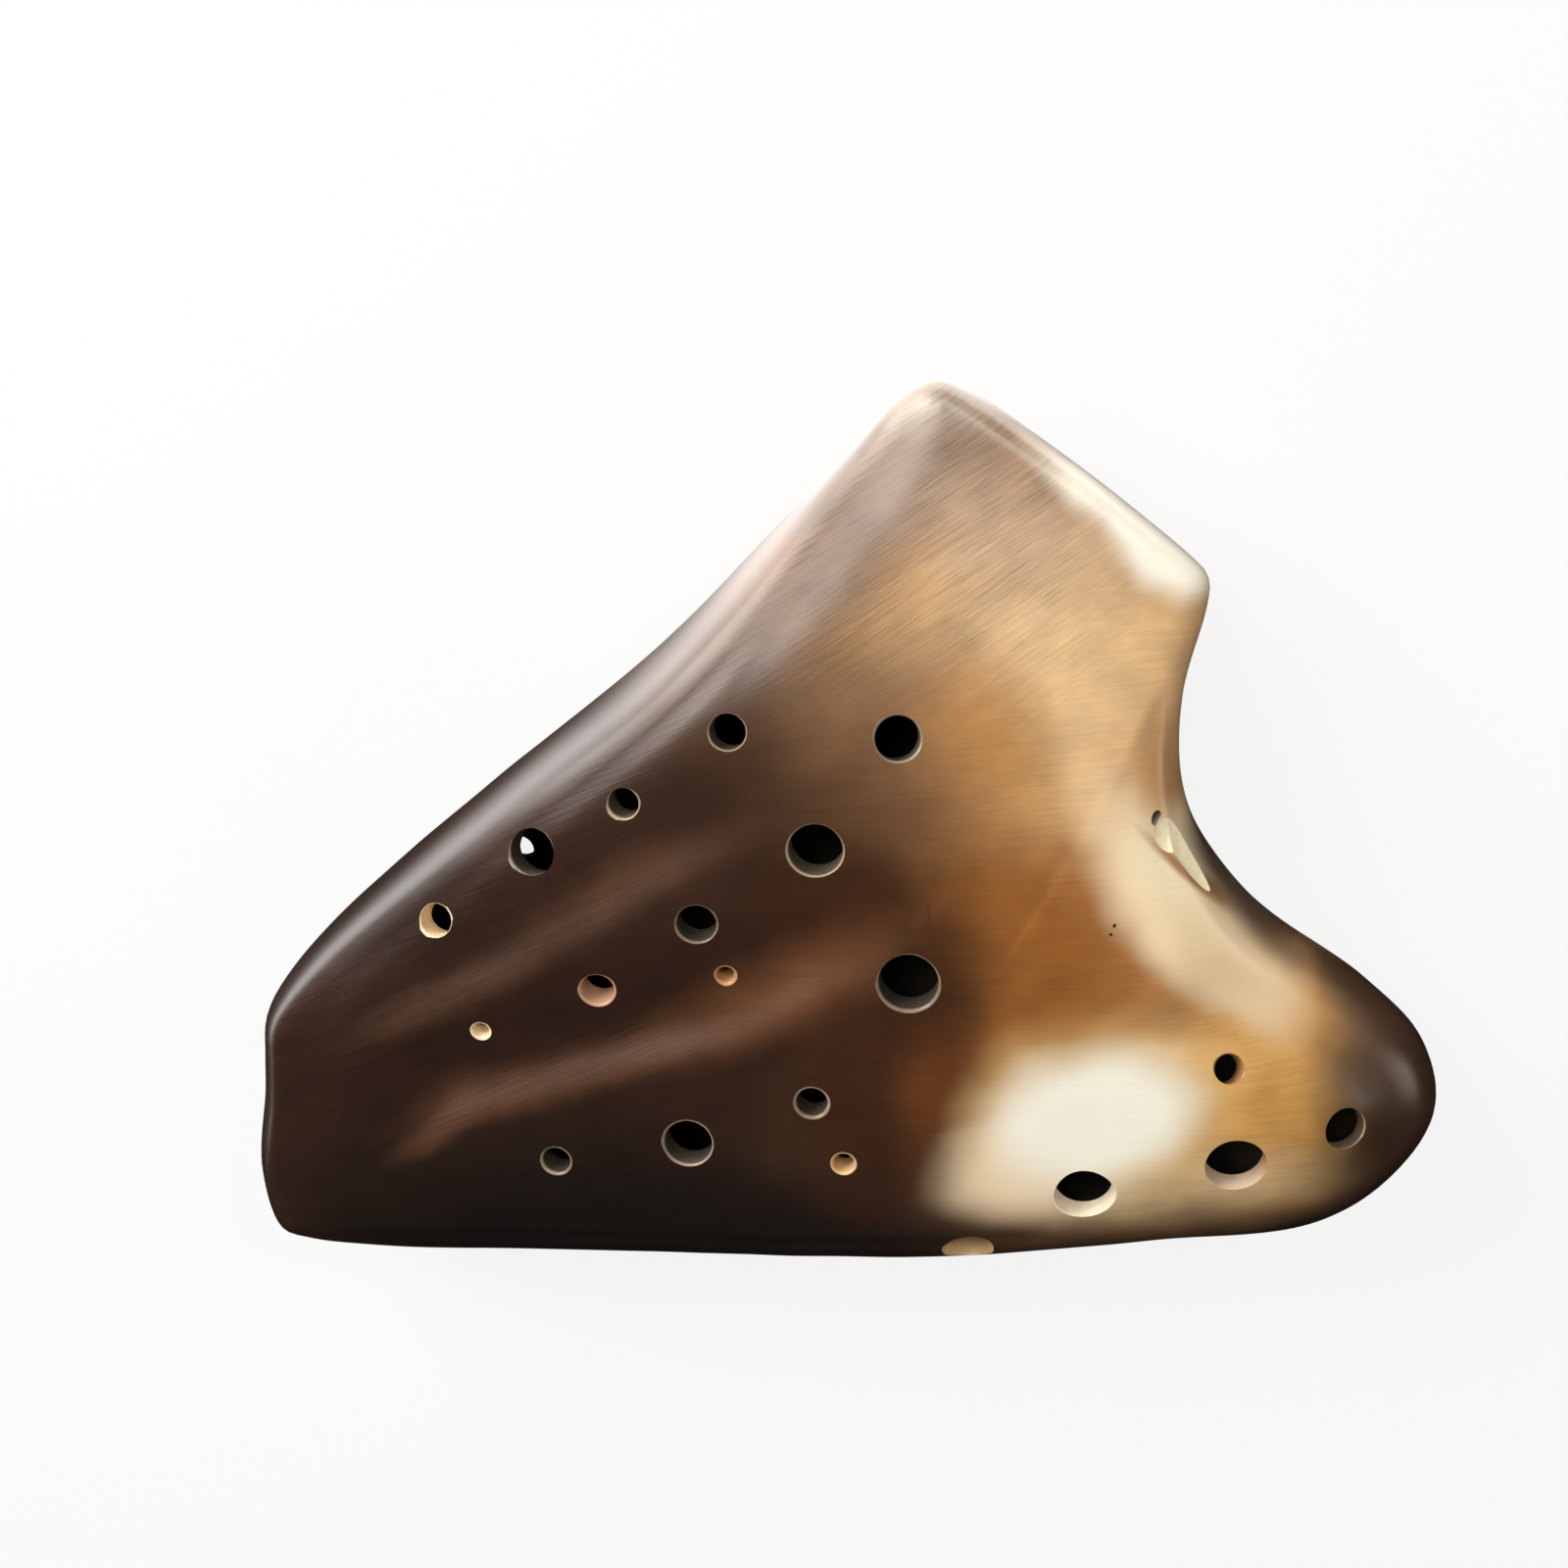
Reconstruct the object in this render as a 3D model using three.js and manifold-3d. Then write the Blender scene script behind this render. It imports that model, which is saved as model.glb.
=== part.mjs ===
import * as THREE from "three";
import { mergeVertices } from "three/addons/utils/BufferGeometryUtils.js";
import Module from "manifold-3d";

const wasm = await Module();
wasm.setup();

// A three-chamber ocarina of smoke-fired clay, lying on its flattened underside.
// Millimetres, +Z up through the finger holes, +X toward the left-hand bulb, +Y toward the
// mouthpiece, with the origin on the resting plane under the middle of the outline.

// Driving dimensions of the body
const length = 195;
const depth = 148;
const seamHeight = 23;
const crownHeight = 20.5;
const tailCrownHeight = 15;
const crownDrop = 2.5;
const crownDropReach = 12;
const tailStart = 20;
const wall = 5;
const jointGap = 0.3;
const overrun = 4;
const slopeReach = 1;

// Rounding of the edge, measured inward from the outline at the seam
const sideRim = 9;
const tailRim = 7;
const beakRim = 3.5;
const neckRim = 5;
const bulbRim = 24;
const frontRim = 12;
const leastRim = 1.5;
const rimPower = 2.3;
const undersideRimShare = 1.15;

// Mouthpiece: a beak that rises to the full height of the body
const beakTopHeight = 6.5;
const beakBottomDepth = 7;
const beakRun = 62;
const beakLength = 30;

// Windways, one for each chamber, with their windows and edges on the underside
const windwayPitch = 15.5;
const windwayHeight = 1.8;
const windwayMouthDepth = 4.3;
const windwayFloorThickness = 2.4;
const floorMargin = 2;
const lowWindwayWidth = 12.5;
const middleWindwayWidth = 11;
const highWindwayWidth = 9.5;
const lowWindowLength = 7.5;
const middleWindowLength = 6.5;
const highWindowLength = 5.5;
const labiumAngle = THREE.MathUtils.degToRad(33);

// Walls between the chambers, with a shallow valley over each
const partitionThickness = 4;
const valleyDepth = 1.2;
const valleyHalfWidth = 7;
const valleyStart = 55;
const valleyRun = 35;

// Holes
const fingerBore = 9.8;
const holeFlare = 0.4;
const edgeHoleBore = 8;
const edgeHoleRise = THREE.MathUtils.degToRad(46);
const leftThumbBore = 10;
const rightThumbBore = 8;

// Facet counts
const skinDetail = { steps: 104, rimRings: 5, innerRings: 5 };
const hollowDetail = { steps: 56, rimRings: 3, innerRings: 4 };
const holeSides = 20;
const partitionSteps = 12;

// Outline at the seam, clockwise from the tail: x as a share of the length, y of the depth
const mouthLeftShares = [0.1, 0.4905];
const mouthRightShares = [0.273, 0.326];
const outlineShares = [
  [-0.485, -0.227, tailRim],
  [-0.467, -0.184, tailRim],
  [-0.419, -0.113, sideRim],
  [-0.286, 0.045, sideRim],
  [-0.144, 0.207, sideRim],
  [0.01, 0.43, sideRim],
  [0.05, 0.488, sideRim],
  [0.076, 0.503, beakRim],
  [...mouthLeftShares, beakRim],
  [...mouthRightShares, beakRim],
  [0.29, 0.302, beakRim],
  [0.29, 0.274, neckRim],
  [0.274, 0.182, neckRim],
  [0.276, 0.092, neckRim],
  [0.294, 0.021, neckRim],
  [0.339, -0.056, sideRim],
  [0.436, -0.142, bulbRim],
  [0.486, -0.211, bulbRim],
  [0.498, -0.283, bulbRim],
  [0.458, -0.368, bulbRim],
  [0.401, -0.416, bulbRim],
  [0.276, -0.441, frontRim],
  [0.096, -0.47, frontRim],
  [-0.154, -0.484, frontRim],
  [-0.446, -0.505, frontRim],
  [-0.481, -0.482, tailRim],
  [-0.496, -0.408, tailRim],
  [-0.488, -0.31, tailRim],
  [-0.483, -0.262, tailRim],
];
const hubShares = [0.1, -0.17];

// Finger holes: x as a share of the length, y of the depth, bore of the widest hole
const highHoleShares = [
  [-0.076, 0.162, 0.63],
  [-0.159, 0.079, 0.55],
  [-0.235, 0.017, 0.82],
  [-0.318, -0.071, 0.6],
];
const middleHoleShares = [
  [0.055, 0.158, 0.76],
  [-0.007, 0.04, 0.91],
  [-0.101, -0.048, 0.69],
  [-0.183, -0.132, 0.6],
  [-0.079, -0.108, 0.34],
  [-0.282, -0.192, 0.32],
];
const lowHoleShares = [
  [0.067, -0.103, 1],
  [-0.009, -0.247, 0.56],
  [-0.11, -0.303, 0.84],
  [-0.221, -0.337, 0.52],
  [0.017, -0.318, 0.39],
  [0.212, -0.349, 0.96],
  [0.331, -0.302, 1.01],
  [0.417, -0.26, 0.65],
  [0.321, -0.192, 0.44],
];
const edgeHoleShares = [0.12, -0.438];
const leftThumbShares = [0.256, -0.22];
const rightThumbShares = [
  [-0.286, -0.062],
  [-0.174, -0.126],
  [-0.117, -0.35],
];

// Walls between the chambers, from the beak to the tail
const lowMiddlePathShares = [
  [0.108, 0.082],
  [0.029, -0.028],
  [-0.072, -0.194],
  [-0.176, -0.229],
  [-0.283, -0.272],
  [-0.504, -0.399],
];
const middleHighPathShares = [
  [0.005, 0.172],
  [-0.04, 0.102],
  [-0.13, 0.016],
  [-0.21, -0.054],
  [-0.301, -0.129],
  [-0.504, -0.259],
];

// A point of the plan from its shares
function plan([xShare, yShare]) {
  return new THREE.Vector2(xShare * length, yShare * depth);
}

// Frame of the beak: x along the mouth edge, y outward from the mouth edge, z up
const mouthLeft = plan(mouthLeftShares);
const mouthRight = plan(mouthRightShares);
const mouthMiddle = mouthLeft.clone().lerp(mouthRight, 0.5);
const mouthAlong = mouthRight.clone().sub(mouthLeft).normalize();
const mouthOutward = new THREE.Vector2(-mouthAlong.y, mouthAlong.x);
const beakFrame = new THREE.Matrix4()
  .makeBasis(
    new THREE.Vector3(mouthAlong.x, mouthAlong.y, 0),
    new THREE.Vector3(mouthOutward.x, mouthOutward.y, 0),
    new THREE.Vector3(0, 0, 1),
  )
  .setPosition(mouthMiddle.x, mouthMiddle.y, 0);

function inwardFromMouth(point) {
  return mouthMiddle.clone().sub(point).dot(mouthOutward);
}

// Plan curve of a wall between two chambers, from the beak's inner face to past the tail
function partitionPath(windwayOffset, pathShares) {
  const start = mouthMiddle
    .clone()
    .addScaledVector(mouthOutward, -beakLength)
    .addScaledVector(mouthAlong, windwayOffset);
  return new THREE.SplineCurve([start, ...pathShares.map(plan)]);
}

const lowMiddlePath = partitionPath(windwayPitch / 2, lowMiddlePathShares);
const middleHighPath = partitionPath(-windwayPitch / 2, middleHighPathShares);
const valleyLines = [lowMiddlePath, middleHighPath].map((path) => path.getPoints(partitionSteps * 4));

// Depth of the valleys over the chamber walls, fading toward the mouthpiece
function valleyAt(point) {
  const nearest = valleyLines.map((line) => Math.min(...line.map((spot) => spot.distanceTo(point))));
  const dip = nearest.reduce((sum, away) => sum + Math.exp(-((away / valleyHalfWidth) ** 2)), 0);
  const fade = THREE.MathUtils.smoothstep(inwardFromMouth(point), valleyStart, valleyStart + valleyRun);
  return valleyDepth * dip * fade;
}

// Plateau of the upper face above the seam, and depth of the underside below it
function crownAt(point) {
  const towardTail = THREE.MathUtils.smoothstep(-point.x, tailStart, length / 2);
  const body = THREE.MathUtils.lerp(crownHeight, tailCrownHeight, towardTail);
  const beak = THREE.MathUtils.smoothstep(inwardFromMouth(point), 0, beakRun);
  return THREE.MathUtils.lerp(beakTopHeight, body, beak) - valleyAt(point);
}

function keelAt(point) {
  const beak = THREE.MathUtils.smoothstep(inwardFromMouth(point), 0, beakRun);
  return THREE.MathUtils.lerp(beakBottomDepth, seamHeight, beak);
}

// Stations round the outline: the point, its rim, and how its line to the hub leans off the normal
const hub = plan(hubShares);

function outlineStations(steps) {
  const knots = outlineShares.map(([xShare, yShare, rim]) => {
    const spot = plan([xShare, yShare]);
    return new THREE.Vector3(spot.x, spot.y, rim);
  });
  const curve = new THREE.CatmullRomCurve3(knots, true, "centripetal");
  return Array.from({ length: steps }, (_, step) => {
    const knot = curve.getPointAt(step / steps);
    const tangent = curve.getTangentAt(step / steps);
    const point = new THREE.Vector2(knot.x, knot.y);
    const toHub = hub.clone().sub(point);
    const normal = new THREE.Vector2(tangent.y, -tangent.x).normalize();
    const lean = normal.dot(toHub.clone().normalize());
    return { point, toHub, rim: knot.z, lean };
  });
}

const edgeStations = outlineStations(skinDetail.steps);

// Distance of a point from the outline, and the rim where it comes nearest
function nearestEdge(point) {
  return edgeStations.reduce((best, station, index) => {
    const next = edgeStations[(index + 1) % edgeStations.length];
    const side = next.point.clone().sub(station.point);
    const along = THREE.MathUtils.clamp(point.clone().sub(station.point).dot(side) / side.lengthSq(), 0, 1);
    const away = station.point.clone().addScaledVector(side, along).distanceTo(point);
    return away < best.away ? { away, rim: THREE.MathUtils.lerp(station.rim, next.rim, along) } : best;
  }, { away: Infinity, rim: 0 });
}

// Rise of the rounded edge, from nothing at the outline to one at the end of the rim
function rimRise(share) {
  return (1 - (1 - THREE.MathUtils.clamp(share, 0, 1)) ** rimPower) ** (1 / rimPower);
}

// Height of the upper face above the seam and depth of the underside below it, drawn in by an inset
function topAt(point, inset = 0) {
  const { away, rim } = nearestEdge(point);
  const height = crownAt(point) - crownDrop * Math.exp(-away / crownDropReach) - inset;
  return rimRise((away - inset) / Math.max(rim - inset, leastRim)) * Math.max(height, jointGap);
}

function bottomAt(point, inset = 0) {
  const { away, rim } = nearestEdge(point);
  const underRim = Math.max(undersideRimShare * rim - inset, leastRim);
  return rimRise((away - inset) / underRim) * Math.max(keelAt(point) - inset, jointGap);
}

function topNormal(point) {
  const slope = (x, y) => {
    const ahead = topAt(new THREE.Vector2(point.x + x, point.y + y));
    const behind = topAt(new THREE.Vector2(point.x - x, point.y - y));
    return (ahead - behind) / (2 * (x + y));
  };
  return new THREE.Vector3(-slope(slopeReach, 0), -slope(0, slopeReach), 1).normalize();
}

// Rows of vertices of one face from the rim to the hub, drawn in from the outline by an inset
function faceRings(detail, inset, rimShare, heightAt) {
  const stations = outlineStations(detail.steps);
  return Array.from({ length: detail.rimRings + detail.innerRings + 1 }, (_, ring) => {
    const inRim = Math.min(ring / detail.rimRings, 1);
    const pastRim = Math.max(ring - detail.rimRings, 0) / (detail.innerRings + 1);
    const turned = 1 - Math.cos((inRim * Math.PI) / 2);
    return stations.map((station) => {
      const rim = Math.max(station.rim * rimShare - inset, leastRim);
      const rimEnd = (inset + rim * turned) / (station.lean * station.toHub.length());
      const point = station.point.clone().addScaledVector(station.toHub, THREE.MathUtils.lerp(rimEnd, 1, pastRim));
      return new THREE.Vector3(point.x, point.y, ring === 0 ? 0 : heightAt(point, inset));
    });
  });
}

// Closed pillow between an upper and a lower face, each of which may be left flat at the seam
function pillow(detail, inset, hasTop, hasBottom) {
  const positions = [];
  const indices = [];
  const face = (rings, sign, centreHeight) => {
    const first = positions.length / 3;
    rings.forEach((ring) => ring.forEach((spot) => {
      positions.push(spot.x, spot.y, seamHeight + sign * spot.z);
    }));
    const centre = positions.length / 3;
    positions.push(hub.x, hub.y, seamHeight + sign * centreHeight);
    const corner = (ring, step) => first + ring * detail.steps + (step % detail.steps);
    const triangle = (a, b, c) => indices.push(...(sign > 0 ? [a, b, c] : [a, c, b]));
    for (let step = 0; step < detail.steps; step += 1) {
      for (let ring = 0; ring < rings.length - 1; ring += 1) {
        triangle(corner(ring, step), corner(ring + 1, step), corner(ring, step + 1));
        triangle(corner(ring, step + 1), corner(ring + 1, step), corner(ring + 1, step + 1));
      }
      triangle(corner(rings.length - 1, step), centre, corner(rings.length - 1, step + 1));
    }
  };
  const top = faceRings(detail, inset, 1, topAt);
  const bottom = faceRings(detail, inset, undersideRimShare, bottomAt);
  face(hasTop ? top : [top[0]], 1, hasTop ? topAt(hub, inset) : 0);
  face(hasBottom ? bottom : [bottom[0]], -1, hasBottom ? bottomAt(hub, inset) : 0);
  const geometry = new THREE.BufferGeometry();
  geometry.setAttribute("position", new THREE.Float32BufferAttribute(positions, 3));
  geometry.setIndex(indices);
  return solid(geometry);
}

// Change between three.js geometry and solids that can be cut
function solid(geometry) {
  const plain = geometry.clone();
  plain.deleteAttribute("normal");
  plain.deleteAttribute("uv");
  const merged = mergeVertices(plain);
  return new wasm.Manifold(new wasm.Mesh({
    numProp: 3,
    vertProperties: new Float32Array(merged.attributes.position.array),
    triVerts: new Uint32Array(merged.index.array),
  }));
}

function geometryOf(body) {
  const mesh = body.getMesh();
  const geometry = new THREE.BufferGeometry();
  geometry.setAttribute("position", new THREE.BufferAttribute(new Float32Array(mesh.vertProperties), 3));
  geometry.setIndex(new THREE.BufferAttribute(new Uint32Array(mesh.triVerts), 1));
  geometry.computeVertexNormals();
  return geometry;
}

function cutAll(body, cutters) {
  return cutters.reduce((rest, cutter) => rest.subtract(cutter), body);
}

// Block of space round the beak, reaching inward to a given distance from the mouth edge
function beakSpace(reach) {
  const outward = depth;
  const box = new THREE.BoxGeometry(length, reach + outward, 2 * depth);
  box.translate(0, (outward - reach) / 2, 0);
  return solid(box.applyMatrix4(beakFrame));
}

// Straight hole along +Z from its inner end, flared toward its outer end
function holeCutter(diameter, height) {
  const cylinder = new THREE.CylinderGeometry(diameter / 2 + holeFlare / 2, diameter / 2, height, holeSides);
  cylinder.rotateX(Math.PI / 2);
  cylinder.translate(0, 0, height / 2);
  return cylinder;
}

// Finger hole square to the upper face where it stands
function fingerHole([xShare, yShare, boreShare]) {
  const spot = plan([xShare, yShare]);
  const cutter = holeCutter(boreShare * fingerBore, wall + 2 * overrun);
  cutter.translate(0, 0, -(wall + overrun));
  const turn = new THREE.Quaternion().setFromUnitVectors(new THREE.Vector3(0, 0, 1), topNormal(spot));
  cutter.applyQuaternion(turn);
  cutter.translate(spot.x, spot.y, seamHeight + topAt(spot));
  return solid(cutter);
}

function edgeHole() {
  const spot = plan(edgeHoleShares);
  const cutter = holeCutter(edgeHoleBore, 2 * (wall + overrun));
  cutter.translate(0, 0, -(wall + overrun));
  cutter.rotateX(Math.PI / 2 - edgeHoleRise);
  cutter.translate(spot.x, spot.y, seamHeight + topAt(spot));
  return solid(cutter);
}

function thumbHole(shares, diameter) {
  const spot = plan(shares);
  const cutter = holeCutter(diameter, wall + 2 * overrun);
  cutter.rotateX(Math.PI);
  cutter.translate(spot.x, spot.y, wall + overrun);
  return solid(cutter);
}

// Windways run down from the mouth edge to the windows on the underside
const voices = [
  { along: windwayPitch, width: lowWindwayWidth, window: lowWindowLength },
  { along: 0, width: middleWindwayWidth, window: middleWindowLength },
  { along: -windwayPitch, width: highWindwayWidth, window: highWindowLength },
];
const beakInnerEnd = mouthMiddle.clone().addScaledVector(mouthOutward, -beakLength);
const floorAtMouth = seamHeight - windwayMouthDepth;
const floorAtWindow = seamHeight - keelAt(beakInnerEnd) + windwayFloorThickness;
const windwaySlope = (floorAtMouth - floorAtWindow) / beakLength;

function floorHeight(inward) {
  return floorAtMouth - windwaySlope * inward;
}

// Prism with its profile in the beak's lengthwise plane, as pairs of inward distance and height
function beakPrism(profile, along, width) {
  const shape = new THREE.Shape(profile.map(([inward, height]) => new THREE.Vector2(-inward, height)));
  const prism = new THREE.ExtrudeGeometry(shape, { depth: width, bevelEnabled: false });
  prism.rotateX(Math.PI / 2);
  prism.rotateZ(Math.PI / 2);
  prism.translate(along - width / 2, 0, 0);
  return prism;
}

function windway({ along, width }) {
  const rise = windwayHeight + jointGap;
  const duct = beakPrism(
    [
      [-overrun, floorHeight(-overrun)],
      [beakLength + overrun, floorHeight(beakLength + overrun)],
      [beakLength + overrun, floorHeight(beakLength + overrun) + rise],
      [-overrun, floorHeight(-overrun) + rise],
    ],
    along,
    width,
  );
  return solid(duct.applyMatrix4(beakFrame));
}

// Window behind a windway, with the ramp that leaves the sounding edge on its far side
function voicing({ along, width, window }) {
  const edgeInward = beakLength + window;
  const edgeHeight = floorHeight(edgeInward) + windwayHeight / 2;
  const rampEnd = edgeInward + (edgeHeight + overrun) / Math.tan(labiumAngle);
  const cutter = beakPrism(
    [
      [beakLength - overrun, -overrun],
      [beakLength - overrun, seamHeight - wall],
      [edgeInward, seamHeight - wall],
      [edgeInward, edgeHeight],
      [rampEnd, -overrun],
    ],
    along,
    width,
  );
  return solid(cutter.applyMatrix4(beakFrame));
}

// Room for the clay plate that closes the windways from below
function floorSpace(clearance) {
  const span = voices[0].width / 2 + voices[2].width / 2 + 2 * windwayPitch + 2 * floorMargin;
  const middle = (voices[0].width - voices[2].width) / 4;
  const space = beakPrism(
    [
      [-overrun, -overrun],
      [beakLength + overrun, -overrun],
      [beakLength + overrun, floorHeight(beakLength + overrun) + clearance],
      [-overrun, floorHeight(-overrun) + clearance],
    ],
    middle,
    span + 2 * clearance,
  );
  return solid(space.applyMatrix4(beakFrame));
}

// Slab that stands along a plan curve and fills the hollow from floor to ceiling
function partition(path) {
  const half = partitionThickness / 2;
  const steps = Array.from({ length: partitionSteps + 1 }, (_, step) => step / partitionSteps);
  const side = (sign) => steps.map((share) => {
    const point = path.getPointAt(share);
    const tangent = path.getTangentAt(share);
    return new THREE.Vector2(point.x - sign * half * tangent.y, point.y + sign * half * tangent.x);
  });
  const shape = new THREE.Shape([...side(1), ...side(-1).reverse()]);
  const slab = new THREE.ExtrudeGeometry(shape, { depth: seamHeight + crownHeight, bevelEnabled: false });
  return solid(slab).intersect(pillow(hollowDetail, wall + jointGap, true, true)).subtract(beakSpace(beakLength + jointGap));
}

// The two moulded halves, their hollow and the beak
const hollow = pillow(hollowDetail, wall, true, true);
const beakCut = beakSpace(beakLength + jointGap);

function topShell() {
  const holes = [...highHoleShares, ...middleHoleShares, ...lowHoleShares].map(fingerHole);
  return cutAll(pillow(skinDetail, 0, true, false), [hollow, beakCut, ...holes, edgeHole()]);
}

function bottomShell() {
  const thumbs = rightThumbShares.map((shares) => thumbHole(shares, rightThumbBore));
  const cutters = [hollow, beakCut, ...voices.map(voicing), ...thumbs, thumbHole(leftThumbShares, leftThumbBore)];
  return cutAll(pillow(skinDetail, 0, false, true), cutters);
}

function mouthpieceBlock() {
  const body = pillow(skinDetail, 0, true, true).intersect(beakSpace(beakLength));
  return cutAll(body, [floorSpace(jointGap), ...voices.map(windway)]);
}

function windwayFloor() {
  return pillow(skinDetail, 0, true, true).intersect(beakSpace(beakLength)).intersect(floorSpace(0));
}

// Fired clay, darker where the smoke reached
function clay(color, roughness) {
  return new THREE.MeshStandardMaterial({ color, roughness, metalness: 0 });
}

const ocarina = new THREE.Group();

function add(name, body, material) {
  const mesh = new THREE.Mesh(geometryOf(body), material);
  mesh.name = name;
  ocarina.add(mesh);
}

add("top_shell", topShell(), clay(0x8a6238, 0.42));
add("bottom_shell", bottomShell(), clay(0x6e4a2b, 0.48));
add("mouthpiece_block", mouthpieceBlock(), clay(0xb08a5c, 0.42));
add("windway_floor", windwayFloor(), clay(0xa9835a, 0.5));
add("low_middle_wall", partition(lowMiddlePath), clay(0xc79a66, 0.8));
add("middle_high_wall", partition(middleHighPath), clay(0xc79a66, 0.8));

export default ocarina;
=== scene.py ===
import math

import bpy
import numpy as np
from mathutils import Matrix, Vector


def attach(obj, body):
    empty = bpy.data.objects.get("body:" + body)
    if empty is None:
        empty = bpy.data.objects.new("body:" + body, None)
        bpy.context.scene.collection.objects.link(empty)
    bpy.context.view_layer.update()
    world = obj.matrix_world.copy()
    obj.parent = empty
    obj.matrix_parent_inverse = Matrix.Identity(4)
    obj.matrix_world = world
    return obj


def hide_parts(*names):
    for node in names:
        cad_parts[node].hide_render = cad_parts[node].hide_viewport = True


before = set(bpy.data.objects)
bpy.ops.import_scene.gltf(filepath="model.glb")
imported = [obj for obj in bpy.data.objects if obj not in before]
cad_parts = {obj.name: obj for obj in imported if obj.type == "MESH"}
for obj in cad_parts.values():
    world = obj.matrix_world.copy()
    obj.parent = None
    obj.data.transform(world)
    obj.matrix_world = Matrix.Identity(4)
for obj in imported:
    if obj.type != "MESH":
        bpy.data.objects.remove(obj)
bpy.context.view_layer.update()


# THE MOULDED FORM
# The ocarina is pressed from two sheets of fine clay in an upper and a lower mould. The form is a
# flat-bellied pillow with a slanting mouthpiece, a waist beside it and a round bulb for the left hand.

length, depth = 0.195, 0.148
seam_height = 0.023
crown, tail_crown, tail_start = 0.0205, 0.015, 0.020
crown_drop, crown_drop_reach = 0.0025, 0.012
beak_top, beak_bottom, beak_run = 0.0065, 0.007, 0.062
wall = 0.005
least_rim, least_rise = 0.0015, 0.0003
rim_power, underside_rim = 2.3, 1.15
side, tail, beak, neck, front = 0.0085, 0.007, 0.004, 0.005, 0.011
bulb, bulb_heel, bulb_foot = 0.024, 0.02, 0.015

# A knot of the outline has its place, in shares of the length and depth, and the reach of its rim.
outline_knots = [
    (-0.483, -0.222, tail), (-0.467, -0.184, tail), (-0.419, -0.113, side), (-0.286, 0.045, side),
    (-0.144, 0.207, side), (0.01, 0.43, side), (0.05, 0.488, side), (0.076, 0.5025, beak),
    (0.1, 0.4905, beak), (0.273, 0.326, beak), (0.29, 0.302, beak), (0.29, 0.274, neck),
    (0.274, 0.182, neck), (0.276, 0.092, neck), (0.294, 0.021, neck), (0.339, -0.056, side),
    (0.436, -0.142, bulb), (0.486, -0.211, bulb), (0.4972, -0.283, bulb), (0.458, -0.368, bulb),
    (0.401, -0.416, bulb_heel), (0.276, -0.441, bulb_foot), (0.096, -0.47, front),
    (-0.154, -0.484, front), (-0.446, -0.505, front), (-0.481, -0.482, tail), (-0.496, -0.408, tail),
    (-0.488, -0.31, tail), (-0.486, -0.262, tail),
]
# The two folds of the face, which run near the walls between the chambers.
fold_knots = [
    (0.062, -0.041), (0.037, -0.074), (0, -0.103), (-0.064, -0.161), (-0.155, -0.204), (-0.227, -0.241),
    (-0.308, -0.291), (-0.364, -0.353), (-0.42, -0.43),
]
second_fold_knots = [
    (0.005, 0.11), (-0.065, 0.054), (-0.128, 0.007), (-0.172, -0.036), (-0.216, -0.075), (-0.274, -0.12),
    (-0.315, -0.151), (-0.384, -0.213), (-0.504, -0.31),
]
valley_depths, valley_flank, valley_slope = (0.0019, 0.0012), 0.008, 0.009
valley_start, valley_run, valley_tail = 0.052, 0.04, (-0.082, -0.058)
frontward = (0.5, -0.87)
span_points, stations_round = 24, 416


def plan(shares):
    return np.array([shares[0] * length, shares[1] * depth])


mouth_left, mouth_right, hub = plan((0.1, 0.4905)), plan((0.273, 0.326)), plan((0.1, -0.17))
mouth_middle = (mouth_left + mouth_right) / 2
mouth_along = (mouth_right - mouth_left) / np.linalg.norm(mouth_right - mouth_left)
mouth_outward = np.array([-mouth_along[1], mouth_along[0]])


def curve_through(knots, closed):
    """Smooth curve through the knots, with span_points points from each knot to the next."""
    knots = np.array(knots, float)
    if not closed:
        knots = np.vstack([2 * knots[0] - knots[1], knots, 2 * knots[-1] - knots[-2]])
    first = -1 if closed else 0
    t = np.linspace(0, 1, span_points, endpoint=False)[:, None]
    spans = []
    for span in range(len(knots) if closed else len(knots) - 3):
        a, b, c, d = (knots[(span + first + k) % len(knots)] for k in range(4))
        ab, bc, cd = (np.linalg.norm(q - p) ** 0.5 for p, q in ((a, b), (b, c), (c, d)))
        leave = ((b - a) / ab - (c - a) / (ab + bc) + (c - b) / bc) * bc
        arrive = ((c - b) / bc - (d - b) / (bc + cd) + (d - c) / cd) * bc
        bend, twist = 3 * (c - b) - 2 * leave - arrive, 2 * (b - c) + leave + arrive
        spans.append(b + leave * t + bend * t**2 + twist * t**3)
    return np.vstack(spans)


def evenly(line, count):
    """The closed line again, as count points an equal way apart."""
    ring = np.vstack([line, line[:1]])
    run = np.concatenate([[0], np.cumsum(np.linalg.norm(np.diff(ring[:, :2], axis=0), axis=1))])
    at = np.arange(count) / count * run[-1]
    return np.stack([np.interp(at, run, ring[:, k]) for k in range(ring.shape[1])], axis=1)


def from_line(points, line, closed):
    """Distance of plan points from a line, and the line's further values where it comes nearest."""
    ends = np.roll(line, -1, axis=0) if closed else line[1:]
    best, carried = np.full(len(points), np.inf), np.zeros((len(points), line.shape[1] - 2))
    for start, end in zip(line, ends):
        way = end - start
        along = np.clip((points - start[:2]) @ way[:2] / (way[:2] @ way[:2]), 0, 1)
        away = np.linalg.norm(points - start[:2] - along[:, None] * way[:2], axis=1)
        near = away < best
        best[near] = away[near]
        carried[near] = (start[2:] + along[:, None] * way[2:])[near]
    return best, carried


def smoothstep(x, low, high):
    t = np.clip((x - low) / (high - low), 0, 1)
    return t * t * (3 - 2 * t)


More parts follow.
